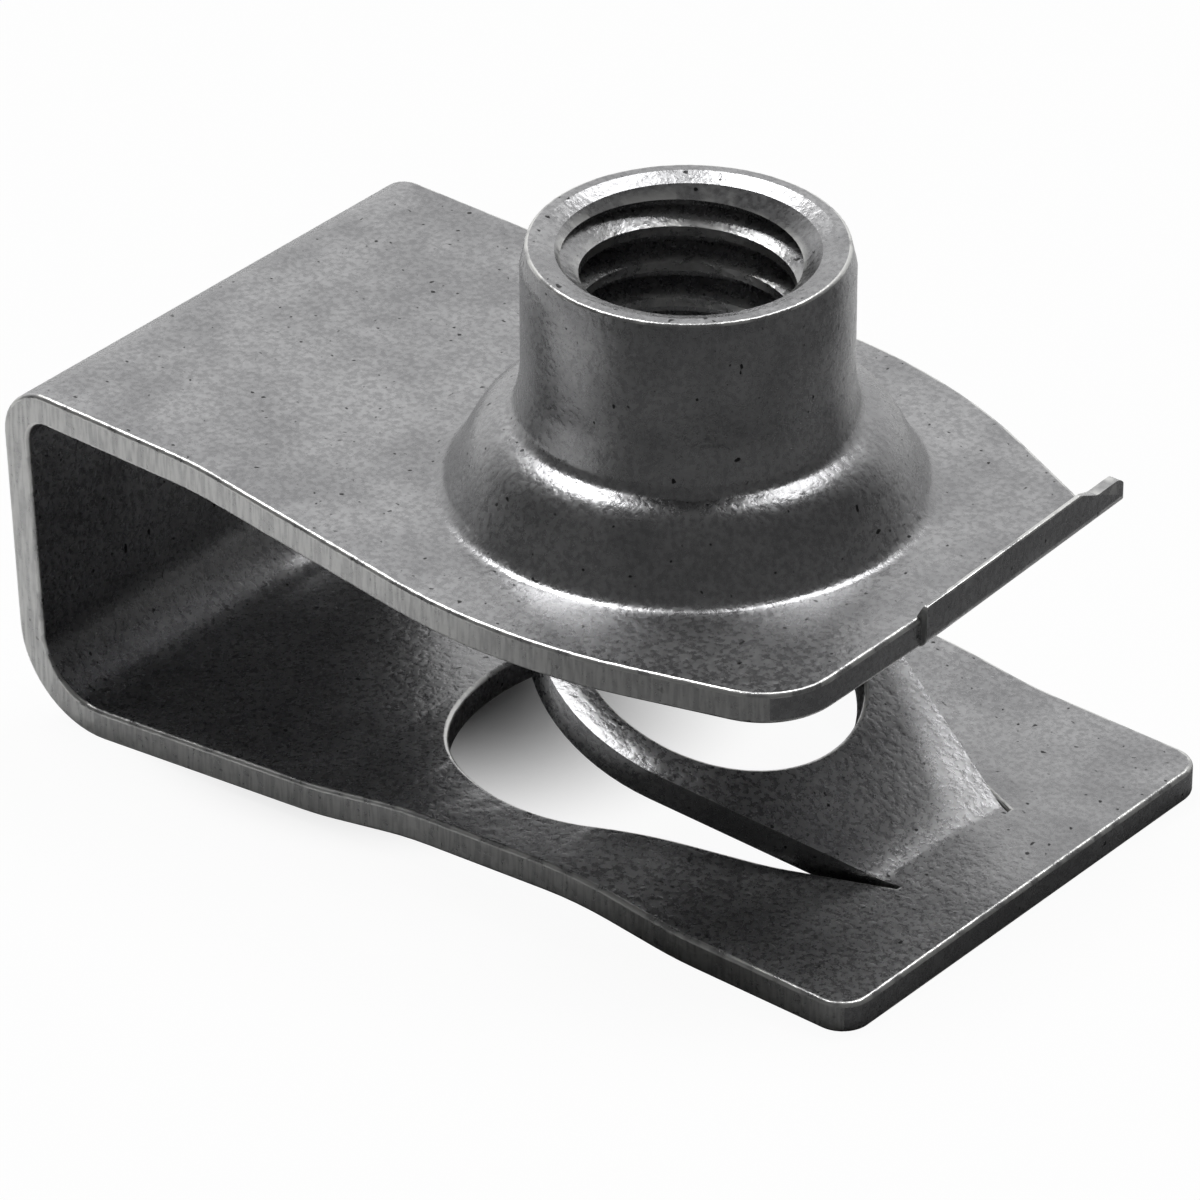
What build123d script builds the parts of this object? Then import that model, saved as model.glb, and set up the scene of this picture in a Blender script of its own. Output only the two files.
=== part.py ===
"""Spring steel U clip nut: a folded strip with a drawn, threaded barrel over a raised screw tongue.

Frame, in millimetres: the origin is on the thread's axis, in the upper leg's clamping underside. The
fold lies toward -X, the two free ends toward +X, and the barrel points along +Z. The functions below
draw the clip with the upper leg's top face at zero, and spring_nut raises it by the sheet's thickness.
"""
from math import acos, atan2, ceil, cos, radians, sin, sqrt, tan
import os

from build123d import *

# Strip
sheet = 1.05                 # thickness of the spring steel
strip_width = 17.9
fold_reach = 20.4            # thread axis to the outside of the fold
fold_height = 12.15          # upper leg's top face to the outer corner of the heel
fold_lean = 2.7              # degrees that the fold's wall leans inward on its way down
edge_round = 0.15            # sheared edges, tumbled smooth
crown_radius = 1.8           # outside radius of the upper bend
heel_radius = 3.2            # outside radius of the lower bend

# Upper leg
bulge_start = 12.3           # behind the axis, where the leg begins to widen
bulge_half_width = 10.8      # corner of the two flanks, before it is rounded
bulge_offset = 1.2           # that corner's place ahead of the axis
bulge_radius = 20.0
flank_radius = 12.0
leg_reach = 10.4             # sheared end, where the lip doesn't cover it
near_flank_end = 7.95        # half widths where the flanks' lines meet that end, before rounding
far_flank_end = 6.8
near_corner_radius = 2.6

# Lip that the cut-off raised along the upper leg's end, with an ear past the far flank
lip_start = -1.7             # along Y
lip_end = 8.85
lip_skew = 2.6               # degrees that the end runs back toward the far side
lip_stand_off = 0.2          # from the leg's end to the lip's face, at the lip's start
lip_depth = 0.5
lip_rise = 0.42              # above the leg's top face
lip_crest = 0.15             # width of the lip's top
lip_slope_foot = 0.25        # below the leg's top face, where the lip's inner slope ends
lip_heel_radius = 0.4        # rounded lower edge
lip_crest_radius = 0.07
ear_start = 7.3              # where the lip's top has fallen level with the leg
ear_fall = 0.9               # length of that fall, along Y
ear_radius = 0.55

# Lower leg
leg_rise = 5.8               # degrees, climbing from the heel
bow_reach = -7.5             # where the narrow sides of the opening begin to bow
bow_rise = 11.0              # degrees
brow_reach = -3.8
brow_rise = 4.3              # degrees
crest_reach = 3.0
dip_reach = 6.8
plate_drop = 0.42            # crest to the level plate
tip_reach = 13.5
tip_corner = 1.0
bow_radius = 15.0
crest_radius = 14.0

# Drawn bell and barrel
barrel_height = 8.32
shoulder_radius = 6.35
shoulder_height = 2.3
foot_radius = 5.3
foot_height = 2.7
flare_height = 4.0           # the neck widens from here down to the foot
toe_radius = 7.55
toe_land = 0.4               # flat ring outside the bell's toe
foot_fillet = 0.5
flare_fillet = 3.0
shoulder_fillet = 1.9
toe_fillet = 0.6
rim_taper = 0.17             # the neck draws in by this at the rim
rim_taper_height = 0.75
rim_fillet = 0.12

# Thread, M8 coarse
thread_major = 8.0
thread_pitch = 1.25
thread_relief = 0.05         # between the thread's root and the drawn bore below it
thread_bottom = 3.3
mouth_radius = 4.55          # the thread's countersunk mouth, at the rim
mouth_slope = 20.0           # degrees

# Tongue and the opening it is lanced from
opening_radius = 6.8
opening_centre = -0.77
hinge_reach = 10.5
tongue_angle = 20.0
tongue_radius = 5.95
tongue_length = 15.5         # hinge to tip along the tongue
tongue_hinge_half_width = 2.7
tongue_bend_radius = 2.5
lance_gap = 0.1
screw_hole_radius = 4.6

# Worked out from the values above
half_width = strip_width / 2
thread_height = sqrt(3) / 2 * thread_pitch
thread_minor = thread_major - 2 * 5 / 8 * thread_height
bore_radius = thread_major / 2 + thread_relief
barrel_radius = bore_radius + sheet
thread_inside = thread_minor / 2 - thread_relief    # clear of the thread's crests
mouth_depth = (mouth_radius - bore_radius) * tan(radians(mouth_slope))
heel_x = -fold_reach + fold_height * tan(radians(fold_lean))
bow_z = -fold_height + (bow_reach - heel_x) * tan(radians(leg_rise))
brow_z = bow_z + (brow_reach - bow_reach) * tan(radians(bow_rise))
crest_z = brow_z + (crest_reach - brow_reach) * tan(radians(brow_rise))
plate_bottom = crest_z - plate_drop
far_reach = leg_reach - (far_flank_end - lip_start) * tan(radians(lip_skew))


def parallel_corners(corners, distance):
    """Corners of the polyline that runs beside the given one, to its left where distance is positive."""
    points = [Vector(*c) for c in corners]
    runs = [(b - a).normalized() for a, b in zip(points, points[1:])]
    normals = [Vector(-run.Y, run.X) for run in runs]
    pairs = zip([normals[0], *normals], [*normals, normals[-1]])
    return [p + (m + n) * (distance / (1 + m.dot(n))) for p, (m, n) in zip(points, pairs)]


def closed_face(outline):
    """Face inside an outline, closed by a straight line."""
    return make_face([*outline.edges(), Line(outline @ 1, outline @ 0)])


def left_turns(corners):
    """+1 for each inner corner that turns left and -1 for each that turns right."""
    points = [Vector(*c) for c in corners]
    runs = [b - a for a, b in zip(points, points[1:])]
    return [1 if a.cross(b).Z > 0 else -1 for a, b in zip(runs, runs[1:])]


def sheet_section(corners, radii, side):
    """Section of bent sheet: one face by its corners and bend radii, the other parallel to its left
    (side 1) or right (side -1)."""
    face = FilletPolyline(*corners, radius=radii)
    back_radii = [max(r - side * turn * sheet, 0) for r, turn in zip(radii, left_turns(corners))]
    back = FilletPolyline(*parallel_corners(corners, side * sheet), radius=back_radii)
    ends = [Line(face @ 0, back @ 0), Line(face @ 1, back @ 1)]
    return make_face([*face.edges(), *back.edges(), *ends])


def strip_section():
    """Side view of the whole strip, drawn along its outer face from the upper end to the lower tip."""
    corners = [
        (leg_reach, 0),
        (-fold_reach, 0),
        (heel_x, -fold_height),
        (bow_reach, bow_z),
        (brow_reach, brow_z),
        (crest_reach, crest_z),
        (dip_reach, plate_bottom),
        (tip_reach, plate_bottom),
    ]
    radii = [crown_radius, heel_radius, bow_radius, bow_radius, crest_radius, crest_radius]
    return Plane.XZ * sheet_section(corners, radii, side=1)


def upper_outline():
    """Plan of the upper leg: a strip that swells around the barrel and narrows to its end, which is
    square on the near side and runs back under the lip on the far side."""
    back = -fold_reach - sheet
    corners = [
        (back, -half_width),
        (-bulge_start, -half_width),
        (bulge_offset, -bulge_half_width),
        (leg_reach, -near_flank_end),
        (leg_reach, lip_start),
        (far_reach, far_flank_end),
        (bulge_offset, bulge_half_width),
        (-bulge_start, half_width),
        (back, half_width),
    ]
    radii = [
        flank_radius, bulge_radius, near_corner_radius, bulge_radius, edge_round, bulge_radius, flank_radius
    ]
    outline = FilletPolyline(*corners, radius=radii)
    return closed_face(outline)


def sheared_edges(edges):
    """Edges along a cut outline: neither through the sheet nor along a bend, unless at a free end."""
    chosen = []
    for edge in edges:
        span = edge @ 1 - edge @ 0
        through = edge.length < 1.2 * sheet and abs(span.Z) > 0.9 * edge.length
        along_bend = abs(span.Y) > 0.999 * edge.length
        at_free_end = edge.center().X > far_reach
        if not through and (at_free_end or not along_bend):
            chosen.append(edge)
    return chosen


def lip():
    """The lip as a bar along Y, by its three rounded views, set at the end of the upper leg."""
    section = FilletPolyline(
        (-lip_depth, -sheet),
        (0, -sheet),
        (0, lip_rise),
        (-lip_crest, lip_rise),
        (-lip_depth, -lip_slope_foot),
        radius=[lip_heel_radius, lip_crest_radius, lip_crest_radius],
    )
    length = lip_end - lip_start
    fall = ear_start - lip_start
    front = FilletPolyline(
        (0, -sheet),
        (length, -sheet),
        (length, 0),
        (fall, 0),
        (fall - ear_fall, lip_rise),
        (0, lip_rise),
        (0, 0),
        radius=[edge_round, ear_radius, ear_radius, ear_radius, edge_round],
    )
    plan = FilletPolyline((-lip_depth, 0), (-lip_depth, length), (0, length), (0, 0), radius=edge_round)
    bar = extrude(Plane.XZ * closed_face(section), amount=-length)
    bar &= extrude(Plane.YZ * closed_face(front), amount=-lip_depth)
    bar &= extrude(closed_face(plan), amount=fold_height, both=True)
    return Pos(leg_reach + lip_stand_off, lip_start, 0) * Rot(0, 0, lip_skew) * bar


def legs():
    """The folded strip with its two plan outlines and its lip, before drawing and lancing."""
    strip = extrude(strip_section(), amount=bulge_half_width, both=True)
    upper = Pos(0, 0, -fold_height / 2) * extrude(upper_outline(), amount=fold_height)
    lower = Pos((tip_reach - fold_reach) / 2, 0, -fold_height) * Box(
        2 * (tip_reach + fold_reach), strip_width, fold_height
    )
    folded = strip & (upper + lower)
    tip_corners = folded.edges().filter_by(Axis.Z).group_by(Axis.X)[-1]
    folded = fillet(tip_corners, tip_corner)
    return fillet(sheared_edges(folded.edges()), edge_round) + lip()


def barrel_ring():
    """The bell drawn up from the leg and the neck above it, one thickness throughout."""
    face = [
        (toe_radius + toe_land, 0),
        (toe_radius, 0),
        (shoulder_radius, shoulder_height),
        (foot_radius, foot_height),
        (barrel_radius, flare_height),
        (barrel_radius, barrel_height),
    ]
    radii = [toe_fillet, shoulder_fillet, foot_fillet, flare_fillet]
    ring = revolve(Plane.XZ * sheet_section(face, radii, side=1), Axis.Z)
    top = ring.faces().sort_by(Axis.Z)[-1]
    rim = top.edges().sort_by(SortBy.RADIUS)[-1]
    tapered = chamfer(rim, rim_taper, rim_taper_height, reference=top)
    rim = tapered.edges().group_by(Axis.Z)[-1].sort_by(SortBy.RADIUS)[-1]
    return fillet(rim, rim_fillet)


def sleeve_envelope():
    """Outline of the metal that the thread is cut in, countersunk at both ends."""
    outer = barrel_radius - sheet / 2
    top = barrel_height - mouth_depth
    corners = [
        (outer, thread_bottom - (outer - bore_radius)),
        (thread_inside, thread_bottom + bore_radius - thread_inside),
        (thread_inside, top - (bore_radius - thread_inside)),
        (bore_radius, top),
        (outer, top),
    ]
    return revolve(Plane.XZ * make_face(Polyline(*corners, close=True)), Axis.Z)


def thread_groove(start, turns):
    """Helical 60 degree groove, opening inward past the thread's minor diameter."""
    root = thread_major / 2
    root_half = thread_pitch / 16
    crest_half = root_half + (root - thread_inside) * tan(radians(30))
    lower = [(thread_inside, -crest_half), (root, -root_half)]
    upper = [(root, root_half), (thread_inside, crest_half)]
    profile = Pos(0, 0, start) * (Plane.XZ * make_face(Polyline(*lower, *upper, close=True)))
    path = Helix(pitch=thread_pitch, height=turns * thread_pitch, radius=root, center=(0, 0, start))
    return sweep(profile, path=path, is_frenet=True)


def thread_sleeve():
    """The threaded metal inside the neck: a longer threaded tube, trimmed to its envelope."""
    turns = ceil((barrel_height - thread_bottom) / thread_pitch) + 2
    start = thread_bottom - thread_pitch
    length = (turns + 2) * thread_pitch
    middle = Pos(0, 0, start - thread_pitch + length / 2)
    tube = middle * (Cylinder(barrel_radius, length) - Cylinder(thread_minor / 2, length))
    return (tube - thread_groove(start, turns)) & sleeve_envelope()


def thread_mouth():
    """The shallow cone between the rim and the drawn bore."""
    return Pos(0, 0, barrel_height - mouth_depth / 2) * Cone(bore_radius, mouth_radius, mouth_depth)


def teardrop(radius, centre, hinge_half_width, overrun=0):
    """A round head joined by tangents to a hinge on the sketch's Y axis; the flanks run on past the
    hinge by the overrun."""
    to_hinge = Vector(-centre, hinge_half_width)
    angle = atan2(to_hinge.Y, to_hinge.X) - acos(radius / to_hinge.length)
    touch = Vector(centre + radius * cos(angle), radius * sin(angle))
    flare = (touch.Y - hinge_half_width) / touch.X
    root = Vector(-overrun, hinge_half_width - overrun * flare)
    head = ThreePointArc(touch, (centre + radius, 0), (touch.X, -touch.Y))
    base = Line((root.X, -root.Y), root)
    return make_face([Line(root, touch), head, Line((touch.X, -touch.Y), (root.X, -root.Y)), base])


def lance(body):
    """Cut the opening in the lower leg, wider than the tongue by the lancing gap at the hinge."""
    plan = teardrop(opening_radius, hinge_reach - opening_centre, tongue_hinge_half_width + lance_gap)
    placed = Plane((hinge_reach, 0, plate_bottom), x_dir=(-1, 0, 0), z_dir=(0, 0, 1)) * plan
    opened = body - extrude(placed, amount=fold_height / 3, both=True)
    lower = opened.edges().filter_by_position(Axis.Z, -fold_height, -fold_height / 2)
    around = lower.filter_by_position(Axis.Y, -opening_radius, opening_radius)
    rim = around.filter_by_position(Axis.X, opening_centre - opening_radius, hinge_reach)
    return fillet(sheared_edges(rim), edge_round)


def tongue():
    """The raised tongue: bent up at its hinge, with the screw's clearance hole."""
    slope = radians(tongue_angle)
    bend_run = tongue_bend_radius * tan(slope / 2)
    corner = (hinge_reach - bend_run, plate_bottom)
    tip = (corner[0] - tongue_length * cos(slope), corner[1] + tongue_length * sin(slope))
    root = (hinge_reach + sheet, plate_bottom)
    section = sheet_section([root, corner, tip], [tongue_bend_radius], side=-1)
    bent = extrude(Plane.XZ * section, amount=opening_radius, both=True)
    head_place = tongue_length - tongue_radius
    plan = teardrop(tongue_radius, head_place, tongue_hinge_half_width, overrun=bend_run + 2 * sheet)
    hole = Pos(head_place, 0) * Circle(screw_hole_radius)
    up = (sin(slope), 0, cos(slope))
    face = Plane((corner[0], 0, corner[1]), x_dir=(-cos(slope), 0, sin(slope)), z_dir=up)
    raised = bent & extrude(face * (plan - hole), amount=3 * sheet, both=True)
    hole_rims = raised.edges().filter_by(GeomType.CIRCLE).group_by(SortBy.RADIUS)[0]
    return fillet(hole_rims, edge_round)


def spring_nut():
    """The clip as one solid, raised so that the clamping face lies at zero."""
    body = legs()
    body -= Pos(0, 0, -sheet / 2) * Cylinder(toe_radius + toe_land, 2 * sheet)
    body += barrel_ring()
    body += thread_sleeve()
    body -= thread_mouth()
    body = lance(body)
    body += tongue()
    return Pos(0, 0, sheet) * body


os.makedirs("parts", exist_ok=True)
part = spring_nut()
export_step(part, "parts/spring_nut.step")
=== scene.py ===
"""Looks of a folded spring steel clip nut: its phosphate coat, tumbled edges made bright with bare steel and
painted highlight, sheared sides, and a stage.

The file is laid out as an add-on and is run as a script. Lengths are in metres.
"""
import math

import bmesh
import bpy
from bpy.props import FloatProperty, FloatVectorProperty, PointerProperty
from mathutils import Matrix, Vector


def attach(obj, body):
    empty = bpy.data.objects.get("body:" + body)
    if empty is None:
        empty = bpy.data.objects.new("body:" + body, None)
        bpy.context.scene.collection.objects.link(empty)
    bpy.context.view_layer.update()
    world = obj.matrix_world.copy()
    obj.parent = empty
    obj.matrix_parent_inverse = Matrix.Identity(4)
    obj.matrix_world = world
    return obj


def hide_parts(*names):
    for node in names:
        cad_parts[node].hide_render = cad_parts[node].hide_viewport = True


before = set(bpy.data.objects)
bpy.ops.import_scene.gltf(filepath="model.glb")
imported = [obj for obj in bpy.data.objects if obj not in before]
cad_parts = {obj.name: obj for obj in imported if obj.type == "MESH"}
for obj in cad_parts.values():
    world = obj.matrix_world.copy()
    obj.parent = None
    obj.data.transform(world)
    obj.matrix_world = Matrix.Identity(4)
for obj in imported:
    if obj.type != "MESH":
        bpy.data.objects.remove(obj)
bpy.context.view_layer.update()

bl_info = {
    "name": "Spring clip nut",
    "version": (1, 0, 0),
    "blender": (4, 5, 0),
    "location": "3D View > Sidebar > Clip nut",
    "description": "Dresses a folded spring steel clip nut and sets its stage",
    "category": "Object",
}

MM = 0.001
NODE = "spring_nut"
BODY = "root"

# Corners and shading
WELD = 0.001 * MM                   # vertices nearer than this are one
FLAT_ANGLE = math.radians(0.3)      # faces that meet at less than this are one plane
SHARP_CORNER = math.radians(60)     # the tongue's sheared outline bends more than this
ROUND_STEPS = 3                     # faces across the rounding of that outline
SMOOTH_ANGLE = math.radians(35)     # an edge that bends less than this is shaded smooth
NECK_ANGLE = math.radians(14)       # the same inside the neck, whose cones and flanks meet crisply

# Where things are
NECK_RADIUS = 4.7 * MM              # the neck's inside is nearer to its axis than this
NECK_FOOT = 4.0 * MM                # and above this height
BELL_RADIUS = 8.5 * MM              # the drawn bell is nearer to the same axis than this
TONGUE_ROOT = 10.0 * MM             # the tongue ends before this, along X
TONGUE_HALF_WIDTH = 6.2 * MM        # and within this of the middle, along Y
TONGUE_TOP = -2.0 * MM              # and below this height
HEEL_SIDE = -5.0 * MM               # the heel is on the low side of this, along X
TIP_SIDE = 5.0 * MM                 # and the tip on the high side of this

# Marks stored on the mesh
# Convex edges are painted bright: partly steel rubbed bare by tumbling, partly a painted highlight where
# their rounding catches the light.
WEAR_AND_HIGHLIGHT = "edge_wear_and_highlight"
WEAR_AND_HIGHLIGHT_FIRST = 0.7 / MM               # curvature at which the bright edges begin, per metre: partly tumbled bare steel, partly painted highlight
WEAR_AND_HIGHLIGHT_FULL = 2.0 / MM                # and at which it is full
SHEARED = "sheared"
SHEARED_LEAN = 0.35                 # a sheared side's normal rises or falls at most this much
SHEARED_ACROSS = 0.7                # and points across the strip at least this much

# The steel's patterns. Phosphate crystals and shear marks are finer than these widths on the real
# part, and are drawn this coarse so that they show.
CLOUD_GRAINS = 12                   # width of the broad clouds, in grains
PIT_GRAINS = 1.1
DIMPLE_GRAINS = 2.2
RUB_AND_GLINT_WIDTH = 0.9 * MM                # lengths of the breaks in the bright lines along the edges, which are partly bare steel and partly painted highlight
STREAK_WIDTH = 0.12 * MM            # width of the upright marks on the sheared sides
STREAK_DRAW = (1, 1, 0.12)          # draws those marks out along Z
RELIEF_DEPTH = 0.03 * MM
RELIEF_STRENGTH = 0.5
METAL_SHARE = 0.9
BARE_ROUGHNESS = 0.3

# The floor and what is mirrored
WHITE = (1, 1, 1)
BOUNCE = (0.1, 0.1, 0.1)            # colour of the floor's light on matt surfaces
FLOOR_REACH = 2.0                   # from the origin to the floor's sides
REST_ROUNDS = 6                     # enough for the resting plane to settle
SHADE_CENTRE = (-10 * MM, 0, 0)     # where the floor beneath the part is darkest
SHADE_REACH = (12.5 * MM, 12 * MM, 1)
PALE_TURN = 0.8                     # the floor pales along this share of the key lamp's turn

# Lamps and camera
LAMP_DISTANCE = 0.3
SENSOR_WIDTH = 36.0                 # in millimetres
CLIP_NEAR = 0.01
CLIP_FAR = 20.0

# Each smooth ramp takes the range from its first value to its second to the range from its third to
# its fourth, and is set through these sockets.
RAMP = {"interpolation_type": "SMOOTHSTEP"}
RAMP_SOCKETS = ("From Min", "From Max", "To Min", "To Max")
GRAIN_TONE = (0.3, 0.7, 0.55, 1.0)
CLOUD_TONE = (0.3, 0.65, 0.6, 1.0)
PIT_SHARE = (0.79, 0.84, 0.0, 1.0)
RUBBED_AND_GLINT_SHARE = (0.42, 0.52, 0.3, 1.0)
STREAK_SHARE = (0.35, 0.65, 0.4, 0.8)
COAT_ROUGHNESS = (0.3, 0.7, 0.24, 0.32)
MATT_SHARE = (0.15, 0.9, 0.98, 0.05)    # by the distance from SHADE_CENTRE, in SHADE_REACH
PALE_SPAN = (-15 * MM, 20 * MM)         # where the floor begins to pale, and where it is palest
SKY_SPAN = (0.15, 0.85)                 # the same for the room, by the cosine to straight behind

# A mix node's sockets repeat their names, so they go by place: its factor, then what it mixes.
MIX_NUMBERS = (0, 2, 3)
MIX_COLOURS = (0, 6, 7)
MIXED_NUMBER = 0
MIXED_COLOUR = 2


def linear(hex_colour):
    """A linear colour from an sRGB hex value such as #8A8A88."""
    channels = [int(hex_colour[i : i + 2], 16) / 255 for i in (1, 3, 5)]
    return tuple(c / 12.92 if c <= 0.04045 else ((c + 0.055) / 1.055) ** 2.4 for c in channels)


class ClipNutFinish(bpy.types.PropertyGroup):
    """Colours and sizes of the steel's finish"""

    coat: FloatVectorProperty(
        name="Coat", description="Colour of the oiled phosphate coat", subtype="COLOR",
        default=linear("#A6A6A7"),
    )
    coat_dark: FloatVectorProperty(
        name="Dark coat", description="Colour of the coat where it is thick", subtype="COLOR",
        default=linear("#6C6C6E"),
    )
    pit: FloatVectorProperty(
        name="Pits", description="Colour of the coat's pits", subtype="COLOR", default=linear("#303031")
    )
    # This colour is also laid along the convex edges as a painted highlight, as well as bare steel.
    bare: FloatVectorProperty(
        name="Bare steel", description="Colour of steel rubbed bare", subtype="COLOR",
        default=linear("#D2D2D0"),
    )
    grain: FloatProperty(
        name="Grain", description="Width of the coat's mottling", unit="LENGTH", default=0.2 * MM
    )
    tongue_round: FloatProperty(
        name="Tongue rounding", description="Rounding of the tongue's sheared outline", unit="LENGTH",
        default=0.13 * MM,
    )


class ClipNutStage(bpy.types.PropertyGroup):
    """Camera, lamps and what the metal mirrors"""

    azimuth: FloatProperty(
        name="Azimuth", description="Camera's bearing from the front", subtype="ANGLE",
        default=math.radians(39.68),
    )
    elevation: FloatProperty(
        name="Elevation", description="Camera's height above level", subtype="ANGLE",
        default=math.radians(31.85),
    )
    distance: FloatProperty(
        name="Distance", description="From the aim to the camera", unit="LENGTH", default=260.3 * MM
    )
    aim: FloatVectorProperty(
        name="Aim", description="Point that the camera looks at", subtype="TRANSLATION", unit="LENGTH",
        default=(-0.859 * MM, -3.135 * MM, -2.102 * MM),
    )
    lens: FloatProperty(name="Lens", description="Focal length in millimetres", default=255.3)
    key_tilt: FloatProperty(
        name="Key tilt", description="Lean of both lamps from overhead", subtype="ANGLE",
        default=math.radians(28),
    )
    key_turn: FloatProperty(
        name="Key turn", description="Turn of the key lamp to the left, and of the other to the right",
        subtype="ANGLE", default=math.radians(38),
    )
    key_angle: FloatProperty(
        name="Key size", description="Angle that each lamp spans", subtype="ANGLE",
        default=math.radians(24),
    )
    key_strength: FloatProperty(name="Key strength", description="Light of the key lamp", default=1.5)
    kick_strength: FloatProperty(
        name="Kick strength", description="Light of the lamp on the other side", default=0.9
    )
    backdrop: FloatProperty(name="Backdrop", description="Brightness mirrored from behind", default=1.0)
    room: FloatProperty(name="Room", description="Brightness mirrored from the front", default=0.13)
    floor: FloatProperty(
        name="Near floor", description="Paleness of the floor mirrored from the front", default=0.24
    )
    fill: FloatProperty(name="Fill", description="Light from all round", default=0.04)


def add_node(tree, kind, settings=None, sockets=None):
    """Add a node, set its settings, and give each socket a constant or another node's output."""
    node = tree.nodes.new(kind)
    for name, value in (settings or {}).items():
        setattr(node, name, value)
    for name, value in (sockets or {}).items():
        socket = node.inputs[name]
        if isinstance(value, bpy.types.NodeSocket):
            tree.links.new(value, socket)
        elif socket.type == "RGBA":
            socket.default_value = (*value, 1)
        else:
            socket.default_value = value
    return node


def new_material(name):
    """An empty node material and its tree."""
    material = bpy.data.materials.new(name)
    material.use_nodes = True
    material.node_tree.nodes.clear()
    return material, material.node_tree


def phosphated_steel(finish):
    """Hardened spring steel with an oiled phosphate coat: a dark metal, half matt and finely mottled,
    with small black pits. Its convex edges are painted bright, partly as steel rubbed bare where the
    sheared edges were tumbled and partly as a painted highlight where their rounding catches the light.
    Its sheared sides are paler, with upright streaks."""
    material, tree = new_material("phosphated_spring_steel")
    place = add_node(tree, "ShaderNodeTexCoord").outputs["Object"]
    drawn_out = add_node(
        tree, "ShaderNodeVectorMath", {"operation": "MULTIPLY"}, {0: place, 1: STREAK_DRAW}
    ).outputs[0]

    noises = {}
    for name, coordinates, width, detail, roughness in (
        ("grain", place, finish.grain, 2.0, 0.6),
        ("cloud", place, CLOUD_GRAINS * finish.grain, 2.0, 0.5),
        ("pits", place, PIT_GRAINS * finish.grain, 0.0, 0.5),
        ("dimples", place, DIMPLE_GRAINS * finish.grain, 1.0, 0.5),
        ("rubbed", place, RUB_AND_GLINT_WIDTH, 1.0, 0.5),
        ("streaks", drawn_out, STREAK_WIDTH, 1.0, 0.5),
    ):
        sockets = {"Vector": coordinates, "Scale": 1 / width, "Detail": detail, "Roughness": roughness}
        noises[name] = add_node(tree, "ShaderNodeTexNoise", sockets=sockets).outputs[0]

    grain_tone, cloud_tone, pitted, rubbed, streaks, coat_rough = (
        add_node(
            tree, "ShaderNodeMapRange", RAMP, {"Value": noises[name], **dict(zip(RAMP_SOCKETS, span))}
        ).outputs[0]
        for name, span in (
            ("grain", GRAIN_TONE),
            ("cloud", CLOUD_TONE),
            ("pits", PIT_SHARE),
            ("rubbed", RUBBED_AND_GLINT_SHARE),
            ("streaks", STREAK_SHARE),
            ("grain", COAT_ROUGHNESS),
        )
    )

    wear_and_highlight, sheared = (
        add_node(tree, "ShaderNodeAttribute", {"attribute_name": name}).outputs["Fac"]
        for name in (WEAR_AND_HIGHLIGHT, SHEARED)
    )
    # The tumbled share is the bright convex edges, broken into dashes: rubbed bare steel and painted
    # highlight.
    mottle, tumbled, streaked = (
        add_node(tree, "ShaderNodeMath", {"operation": "MULTIPLY"}, {0: first, 1: second}).outputs[0]
        for first, second in ((grain_tone, cloud_tone), (wear_and_highlight, rubbed), (sheared, streaks))
    )
    # The pale share: the bright edges, which are partly painted highlight, and the streaked sheared sides.
    bare = add_node(tree, "ShaderNodeMath", {"operation": "MAXIMUM"}, {0: tumbled, 1: streaked}).outputs[0]

    colour = finish.coat_dark
    for share, layer in ((mottle, finish.coat), (pitted, finish.pit), (bare, finish.bare)):
        sockets = dict(zip(MIX_COLOURS, (share, colour, layer)))
        colour = add_node(tree, "ShaderNodeMix", {"data_type": "RGBA"}, sockets).outputs[MIXED_COLOUR]
    sockets = dict(zip(MIX_NUMBERS, (bare, coat_rough, BARE_ROUGHNESS)))
    rough = add_node(tree, "ShaderNodeMix", {"data_type": "FLOAT"}, sockets).outputs[MIXED_NUMBER]
    relief = add_node(
        tree, "ShaderNodeMath", {"operation": "ADD"}, {0: noises["grain"], 1: noises["dimples"]}
    )
    bump = add_node(
        tree,
        "ShaderNodeBump",
        sockets={"Strength": RELIEF_STRENGTH, "Distance": RELIEF_DEPTH, "Height": relief.outputs[0]},
    )
    shader = add_node(
        tree,
        "ShaderNodeBsdfPrincipled",
        sockets={
            "Metallic": METAL_SHARE,
            "Base Color": colour,
            "Roughness": rough,
            "Normal": bump.outputs[0],
        },
    )
    add_node(tree, "ShaderNodeOutputMaterial", sockets={"Surface": shader.outputs[0]})
    return material


def tongue_outline(bm):
    """The tongue's convex sheared edges, which are sharp in model.glb."""
    chosen = []
    for edge in bm.edges:
        middle = (edge.verts[0].co + edge.verts[1].co) / 2
        in_place = middle.x < TONGUE_ROOT and abs(middle.y) < TONGUE_HALF_WIDTH and middle.z < TONGUE_TOP
        if in_place and len(edge.link_faces) == 2 and edge.calc_face_angle_signed() > SHARP_CORNER:
            chosen.append(edge)
    return chosen


def round_tongue(bm, radius):
    """Round the tongue's outline as the tumbled edges of the rest are. Edges are taken in the mesh's
    own order, so that each run gives the same corners and faces."""
    outline = set(tongue_outline(bm))
    around = {face for edge in outline for face in edge.link_faces}
    beside = [edge for edge in bm.edges if edge not in outline and around.intersection(edge.link_faces)]
    inner = [edge for edge in beside if edge.calc_face_angle(math.pi) < FLAT_ANGLE]
    bmesh.ops.dissolve_edges(bm, edges=inner, use_verts=False)
    bmesh.ops.bevel(
        bm,
        geom=tongue_outline(bm),
        offset=radius,
        segments=ROUND_STEPS,
        profile=0.5,
        affect="EDGES",
        clamp_overlap=True,
    )
    bmesh.ops.triangulate(bm, faces=[face for face in bm.faces if len(face.verts) > 4])


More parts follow.
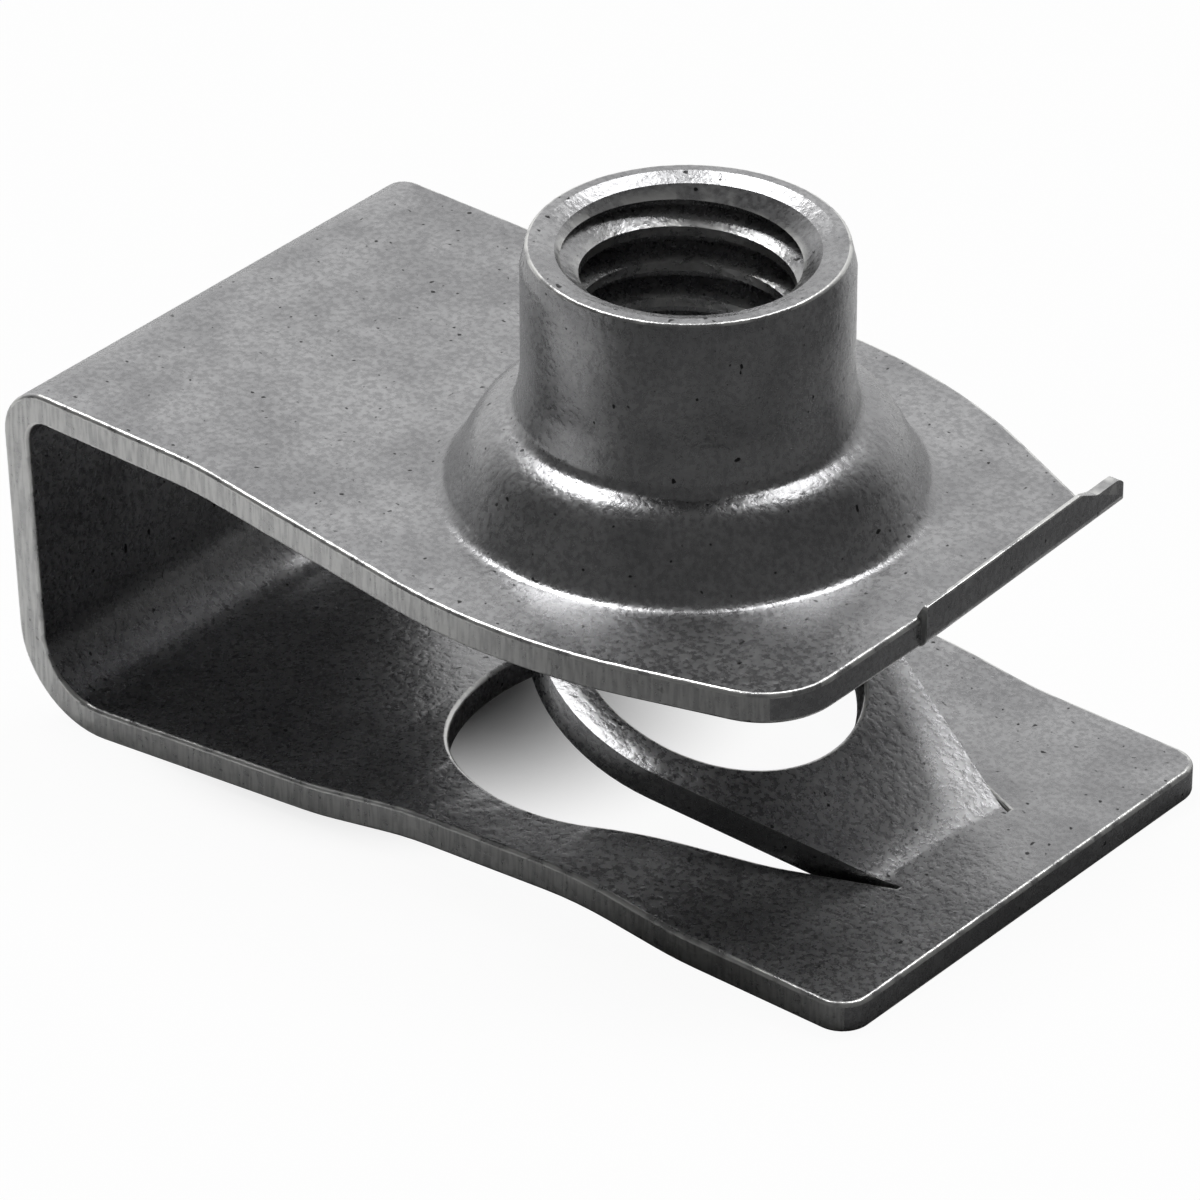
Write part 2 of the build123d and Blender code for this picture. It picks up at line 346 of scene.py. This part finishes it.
def mark_sharp(bm):
    """Shade smooth all but the hard corners."""
    for face in bm.faces:
        face.smooth = True
    for edge in bm.edges:
        middle = (edge.verts[0].co + edge.verts[1].co) / 2
        in_neck = middle.z > NECK_FOOT and math.hypot(middle.x, middle.y) < NECK_RADIUS
        edge.smooth = edge.calc_face_angle(0) < (NECK_ANGLE if in_neck else SMOOTH_ANGLE)


def vertex_bend(vert):
    """Mean curvature at a vertex, per metre: positive on an outward edge."""
    edges = [edge for edge in vert.link_edges if len(edge.link_faces) == 2]
    bend = sum(edge.calc_face_angle_signed() * edge.calc_length() for edge in edges) / 4
    area = sum(face.calc_area() for face in vert.link_faces) / 3
    return bend / area if area > 0 else 0.0


def edge_wear_and_highlight(bm):
    """0 to 1 for each vertex: how far the curvature there passes from where the bright edge begins to where
    it is full. The bright edge is partly tumbled bare steel and partly painted highlight.
    """
    span = WEAR_AND_HIGHLIGHT_FULL - WEAR_AND_HIGHLIGHT_FIRST
    return [min(max((vertex_bend(vert) - WEAR_AND_HIGHLIGHT_FIRST) / span, 0.0), 1.0) for vert in bm.verts]


def sheared_sides(mesh):
    """1 for each upright face that shearing left along the strip, outside the drawn bell, else 0."""
    marks = []
    for face in mesh.polygons:
        upright = abs(face.normal.z) < SHEARED_LEAN and abs(face.normal.y) > SHEARED_ACROSS
        outside = math.hypot(face.center.x, face.center.y) > BELL_RADIUS
        marks.append(1.0 if upright and outside else 0.0)
    return marks


class CLIPNUT_OT_body(bpy.types.Operator):
    """Dress the folded strip with its barrel, thread and tongue"""

    bl_idname = "clipnut.body"
    bl_label = "Spring steel body"

    def execute(self, context):
        finish = context.scene.clipnut_finish
        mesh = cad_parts[NODE].data.copy()
        mesh.name = "clip_body"
        mesh.materials.clear()
        bm = bmesh.new()
        bm.from_mesh(mesh)
        bmesh.ops.remove_doubles(bm, verts=bm.verts, dist=WELD)
        round_tongue(bm, finish.tongue_round)
        bm.normal_update()
        mark_sharp(bm)
        # Marks the convex edges for the bright colour: tumbled bare steel and painted highlight.
        wear_and_highlight = edge_wear_and_highlight(bm)
        bm.to_mesh(mesh)
        bm.free()
        for name, domain, marks in ((WEAR_AND_HIGHLIGHT, "POINT", wear_and_highlight), (SHEARED, "FACE", sheared_sides(mesh))):
            mesh.attributes.new(name, "FLOAT", domain).data.foreach_set("value", marks)
        mesh.materials.append(phosphated_steel(finish))
        piece = bpy.data.objects.new("clip_body", mesh)
        context.scene.collection.objects.link(piece)
        piece.modifiers.new("flat faces", "WEIGHTED_NORMAL").keep_sharp = True
        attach(piece, BODY)
        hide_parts(NODE)
        return {"FINISHED"}


def resting_plane():
    """Height at the origin and slope along X of the surface that heel and tip both touch."""
    points = [vert.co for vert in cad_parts[NODE].data.vertices]
    slope = 0.0
    for _ in range(REST_ROUNDS):
        heel = min((p for p in points if p.x < HEEL_SIDE), key=lambda p: p.z - slope * p.x)
        tip = min((p for p in points if p.x > TIP_SIDE), key=lambda p: p.z - slope * p.x)
        slope = (tip.z - heel.z) / (tip.x - heel.x)
    return heel.z - slope * heel.x, slope


def turned_away(stage, turn=0.0):
    """Level direction away from the camera, turned to its left."""
    return Vector((-math.sin(stage.azimuth + turn), math.cos(stage.azimuth + turn), 0))


def ray_kinds(tree):
    """Two outputs: 1 for a ray from the camera, and 1 for a ray that metal or glass sends on."""
    path = add_node(tree, "ShaderNodeLightPath").outputs
    sent_on = add_node(
        tree,
        "ShaderNodeMath",
        {"operation": "MAXIMUM"},
        {0: path["Is Glossy Ray"], 1: path["Is Transmission Ray"]},
    )
    return path["Is Camera Ray"], sent_on.outputs[0]


def floor_material(stage):
    """Matt white board: white where it is seen, with the part's shadow beneath it. Metal mirrors it
    dim in front of the part and pale behind."""
    material, tree = new_material("white_board")
    place = add_node(tree, "ShaderNodeTexCoord").outputs["Object"]
    offset = add_node(tree, "ShaderNodeVectorMath", {"operation": "SUBTRACT"}, {0: place, 1: SHADE_CENTRE})
    scaled = add_node(
        tree, "ShaderNodeVectorMath", {"operation": "DIVIDE"}, {0: offset.outputs[0], 1: SHADE_REACH}
    )
    distance = add_node(tree, "ShaderNodeVectorMath", {"operation": "LENGTH"}, {0: scaled.outputs[0]})
    away = turned_away(stage, PALE_TURN * stage.key_turn)
    behind = add_node(tree, "ShaderNodeVectorMath", {"operation": "DOT_PRODUCT"}, {0: place, 1: away})
    matt, paleness = (
        add_node(
            tree,
            "ShaderNodeMapRange",
            RAMP,
            {"Value": source.outputs["Value"], **dict(zip(RAMP_SOCKETS, span))},
        )
        for source, span in ((distance, MATT_SHARE), (behind, (*PALE_SPAN, stage.floor, stage.backdrop)))
    )

    glow = add_node(tree, "ShaderNodeEmission", sockets={"Color": WHITE, "Strength": 1.0})
    shaded, mirrored, bounced = (
        add_node(tree, "ShaderNodeBsdfDiffuse", sockets={"Color": colour})
        for colour in (WHITE, paleness.outputs[0], BOUNCE)
    )
    from_camera, sent_on = ray_kinds(tree)
    seen, by_light = (
        add_node(
            tree, "ShaderNodeMixShader", sockets={0: share, 1: first.outputs[0], 2: second.outputs[0]}
        )
        for share, first, second in ((matt.outputs[0], glow, shaded), (sent_on, bounced, mirrored))
    )
    surface = add_node(
        tree,
        "ShaderNodeMixShader",
        sockets={0: from_camera, 1: by_light.outputs[0], 2: seen.outputs[0]},
    )
    add_node(tree, "ShaderNodeOutputMaterial", sockets={"Surface": surface.outputs[0]})
    return material


def make_floor(scene, stage):
    """A wide board that the part's heel and tip rest on."""
    height, slope = resting_plane()
    corners = ((-1, -1), (1, -1), (1, 1), (-1, 1))
    places = [(x * FLOOR_REACH, y * FLOOR_REACH, height + slope * x * FLOOR_REACH) for x, y in corners]
    mesh = bpy.data.meshes.new("floor")
    mesh.from_pydata(places, [], [(0, 1, 2, 3)])
    mesh.materials.append(floor_material(stage))
    floor = bpy.data.objects.new("floor", mesh)
    scene.collection.objects.link(floor)


def light_world(scene, stage):
    """White all round where it is seen. Metal mirrors a bright backdrop behind the part and a dim
    room in front of it, and what is left is a dim fill."""
    world = bpy.data.worlds.new("studio")
    world.use_nodes = True
    tree = world.node_tree
    tree.nodes.clear()
    direction = add_node(tree, "ShaderNodeTexCoord").outputs["Generated"]
    behind = add_node(
        tree, "ShaderNodeVectorMath", {"operation": "DOT_PRODUCT"}, {0: direction, 1: turned_away(stage)}
    )
    span = (*SKY_SPAN, stage.room, stage.backdrop)
    mirrored = add_node(
        tree,
        "ShaderNodeMapRange",
        RAMP,
        {"Value": behind.outputs["Value"], **dict(zip(RAMP_SOCKETS, span))},
    )
    from_camera, sent_on = ray_kinds(tree)
    strength = stage.fill
    for share, brightness in ((sent_on, mirrored.outputs[0]), (from_camera, 1.0)):
        sockets = dict(zip(MIX_NUMBERS, (share, strength, brightness)))
        strength = add_node(tree, "ShaderNodeMix", {"data_type": "FLOAT"}, sockets).outputs[MIXED_NUMBER]
    background = add_node(tree, "ShaderNodeBackground", sockets={"Color": WHITE, "Strength": strength})
    add_node(tree, "ShaderNodeOutputWorld", sockets={"Surface": background.outputs[0]})
    scene.world = world


def add_lamp(scene, stage, name, turn, strength):
    """A broad lamp overhead, leaning away from the camera and turned to its left by the angle."""
    level = turned_away(stage, turn) * math.sin(stage.key_tilt)
    toward = level + Vector((0, 0, math.cos(stage.key_tilt)))
    light = bpy.data.lights.new(name, "SUN")
    light.energy = strength
    light.angle = stage.key_angle
    lamp = bpy.data.objects.new(name, light)
    lamp.rotation_euler = toward.to_track_quat("Z", "Y").to_euler()
    lamp.location = toward * LAMP_DISTANCE
    scene.collection.objects.link(lamp)


def camera_axes(stage):
    """Directions to the camera's right, up and back."""
    a, e = stage.azimuth, stage.elevation
    back = Vector((math.sin(a) * math.cos(e), -math.cos(a) * math.cos(e), math.sin(e)))
    right = Vector((math.cos(a), math.sin(a), 0))
    return right, back.cross(right), back


def add_camera(scene, stage):
    """The camera, at its distance from the aim."""
    right, up, back = camera_axes(stage)
    data = bpy.data.cameras.new("camera")
    data.sensor_width = SENSOR_WIDTH
    data.lens = stage.lens
    data.clip_start = CLIP_NEAR
    data.clip_end = CLIP_FAR
    camera = bpy.data.objects.new("camera", data)
    place = Vector(stage.aim) + back * stage.distance
    turn = Matrix((right, up, back)).transposed().to_4x4()
    camera.matrix_world = Matrix.Translation(place) @ turn
    scene.collection.objects.link(camera)
    scene.camera = camera


class CLIPNUT_OT_stage(bpy.types.Operator):
    """Lay the floor, hang the lamps and place the camera"""

    bl_idname = "clipnut.stage"
    bl_label = "Stage"

    def execute(self, context):
        scene = context.scene
        stage = scene.clipnut_stage
        scene.view_settings.view_transform = "Standard"
        make_floor(scene, stage)
        light_world(scene, stage)
        add_lamp(scene, stage, "key", stage.key_turn, stage.key_strength)
        add_lamp(scene, stage, "kick", -stage.key_turn, stage.kick_strength)
        add_camera(scene, stage)
        return {"FINISHED"}


class CLIPNUT_PT_panel(bpy.types.Panel):
    """Sizes, colours and steps of the clip nut"""

    bl_label = "Clip nut"
    bl_idname = "CLIPNUT_PT_panel"
    bl_space_type = "VIEW_3D"
    bl_region_type = "UI"
    bl_category = "Clip nut"

    def draw(self, context):
        for group in (context.scene.clipnut_finish, context.scene.clipnut_stage):
            for name in group.__annotations__:
                self.layout.prop(group, name)
        for operator in OPERATORS:
            self.layout.operator(operator.bl_idname)


OPERATORS = (CLIPNUT_OT_body, CLIPNUT_OT_stage)
CLASSES = (ClipNutFinish, ClipNutStage, *OPERATORS, CLIPNUT_PT_panel)


def register():
    for cls in CLASSES:
        bpy.utils.register_class(cls)
    bpy.types.Scene.clipnut_finish = PointerProperty(type=ClipNutFinish)
    bpy.types.Scene.clipnut_stage = PointerProperty(type=ClipNutStage)


def unregister():
    del bpy.types.Scene.clipnut_stage
    del bpy.types.Scene.clipnut_finish
    for cls in reversed(CLASSES):
        bpy.utils.unregister_class(cls)


def main():
    register()
    bpy.ops.clipnut.body()
    bpy.ops.clipnut.stage()


if __name__ == "__main__":
    main()
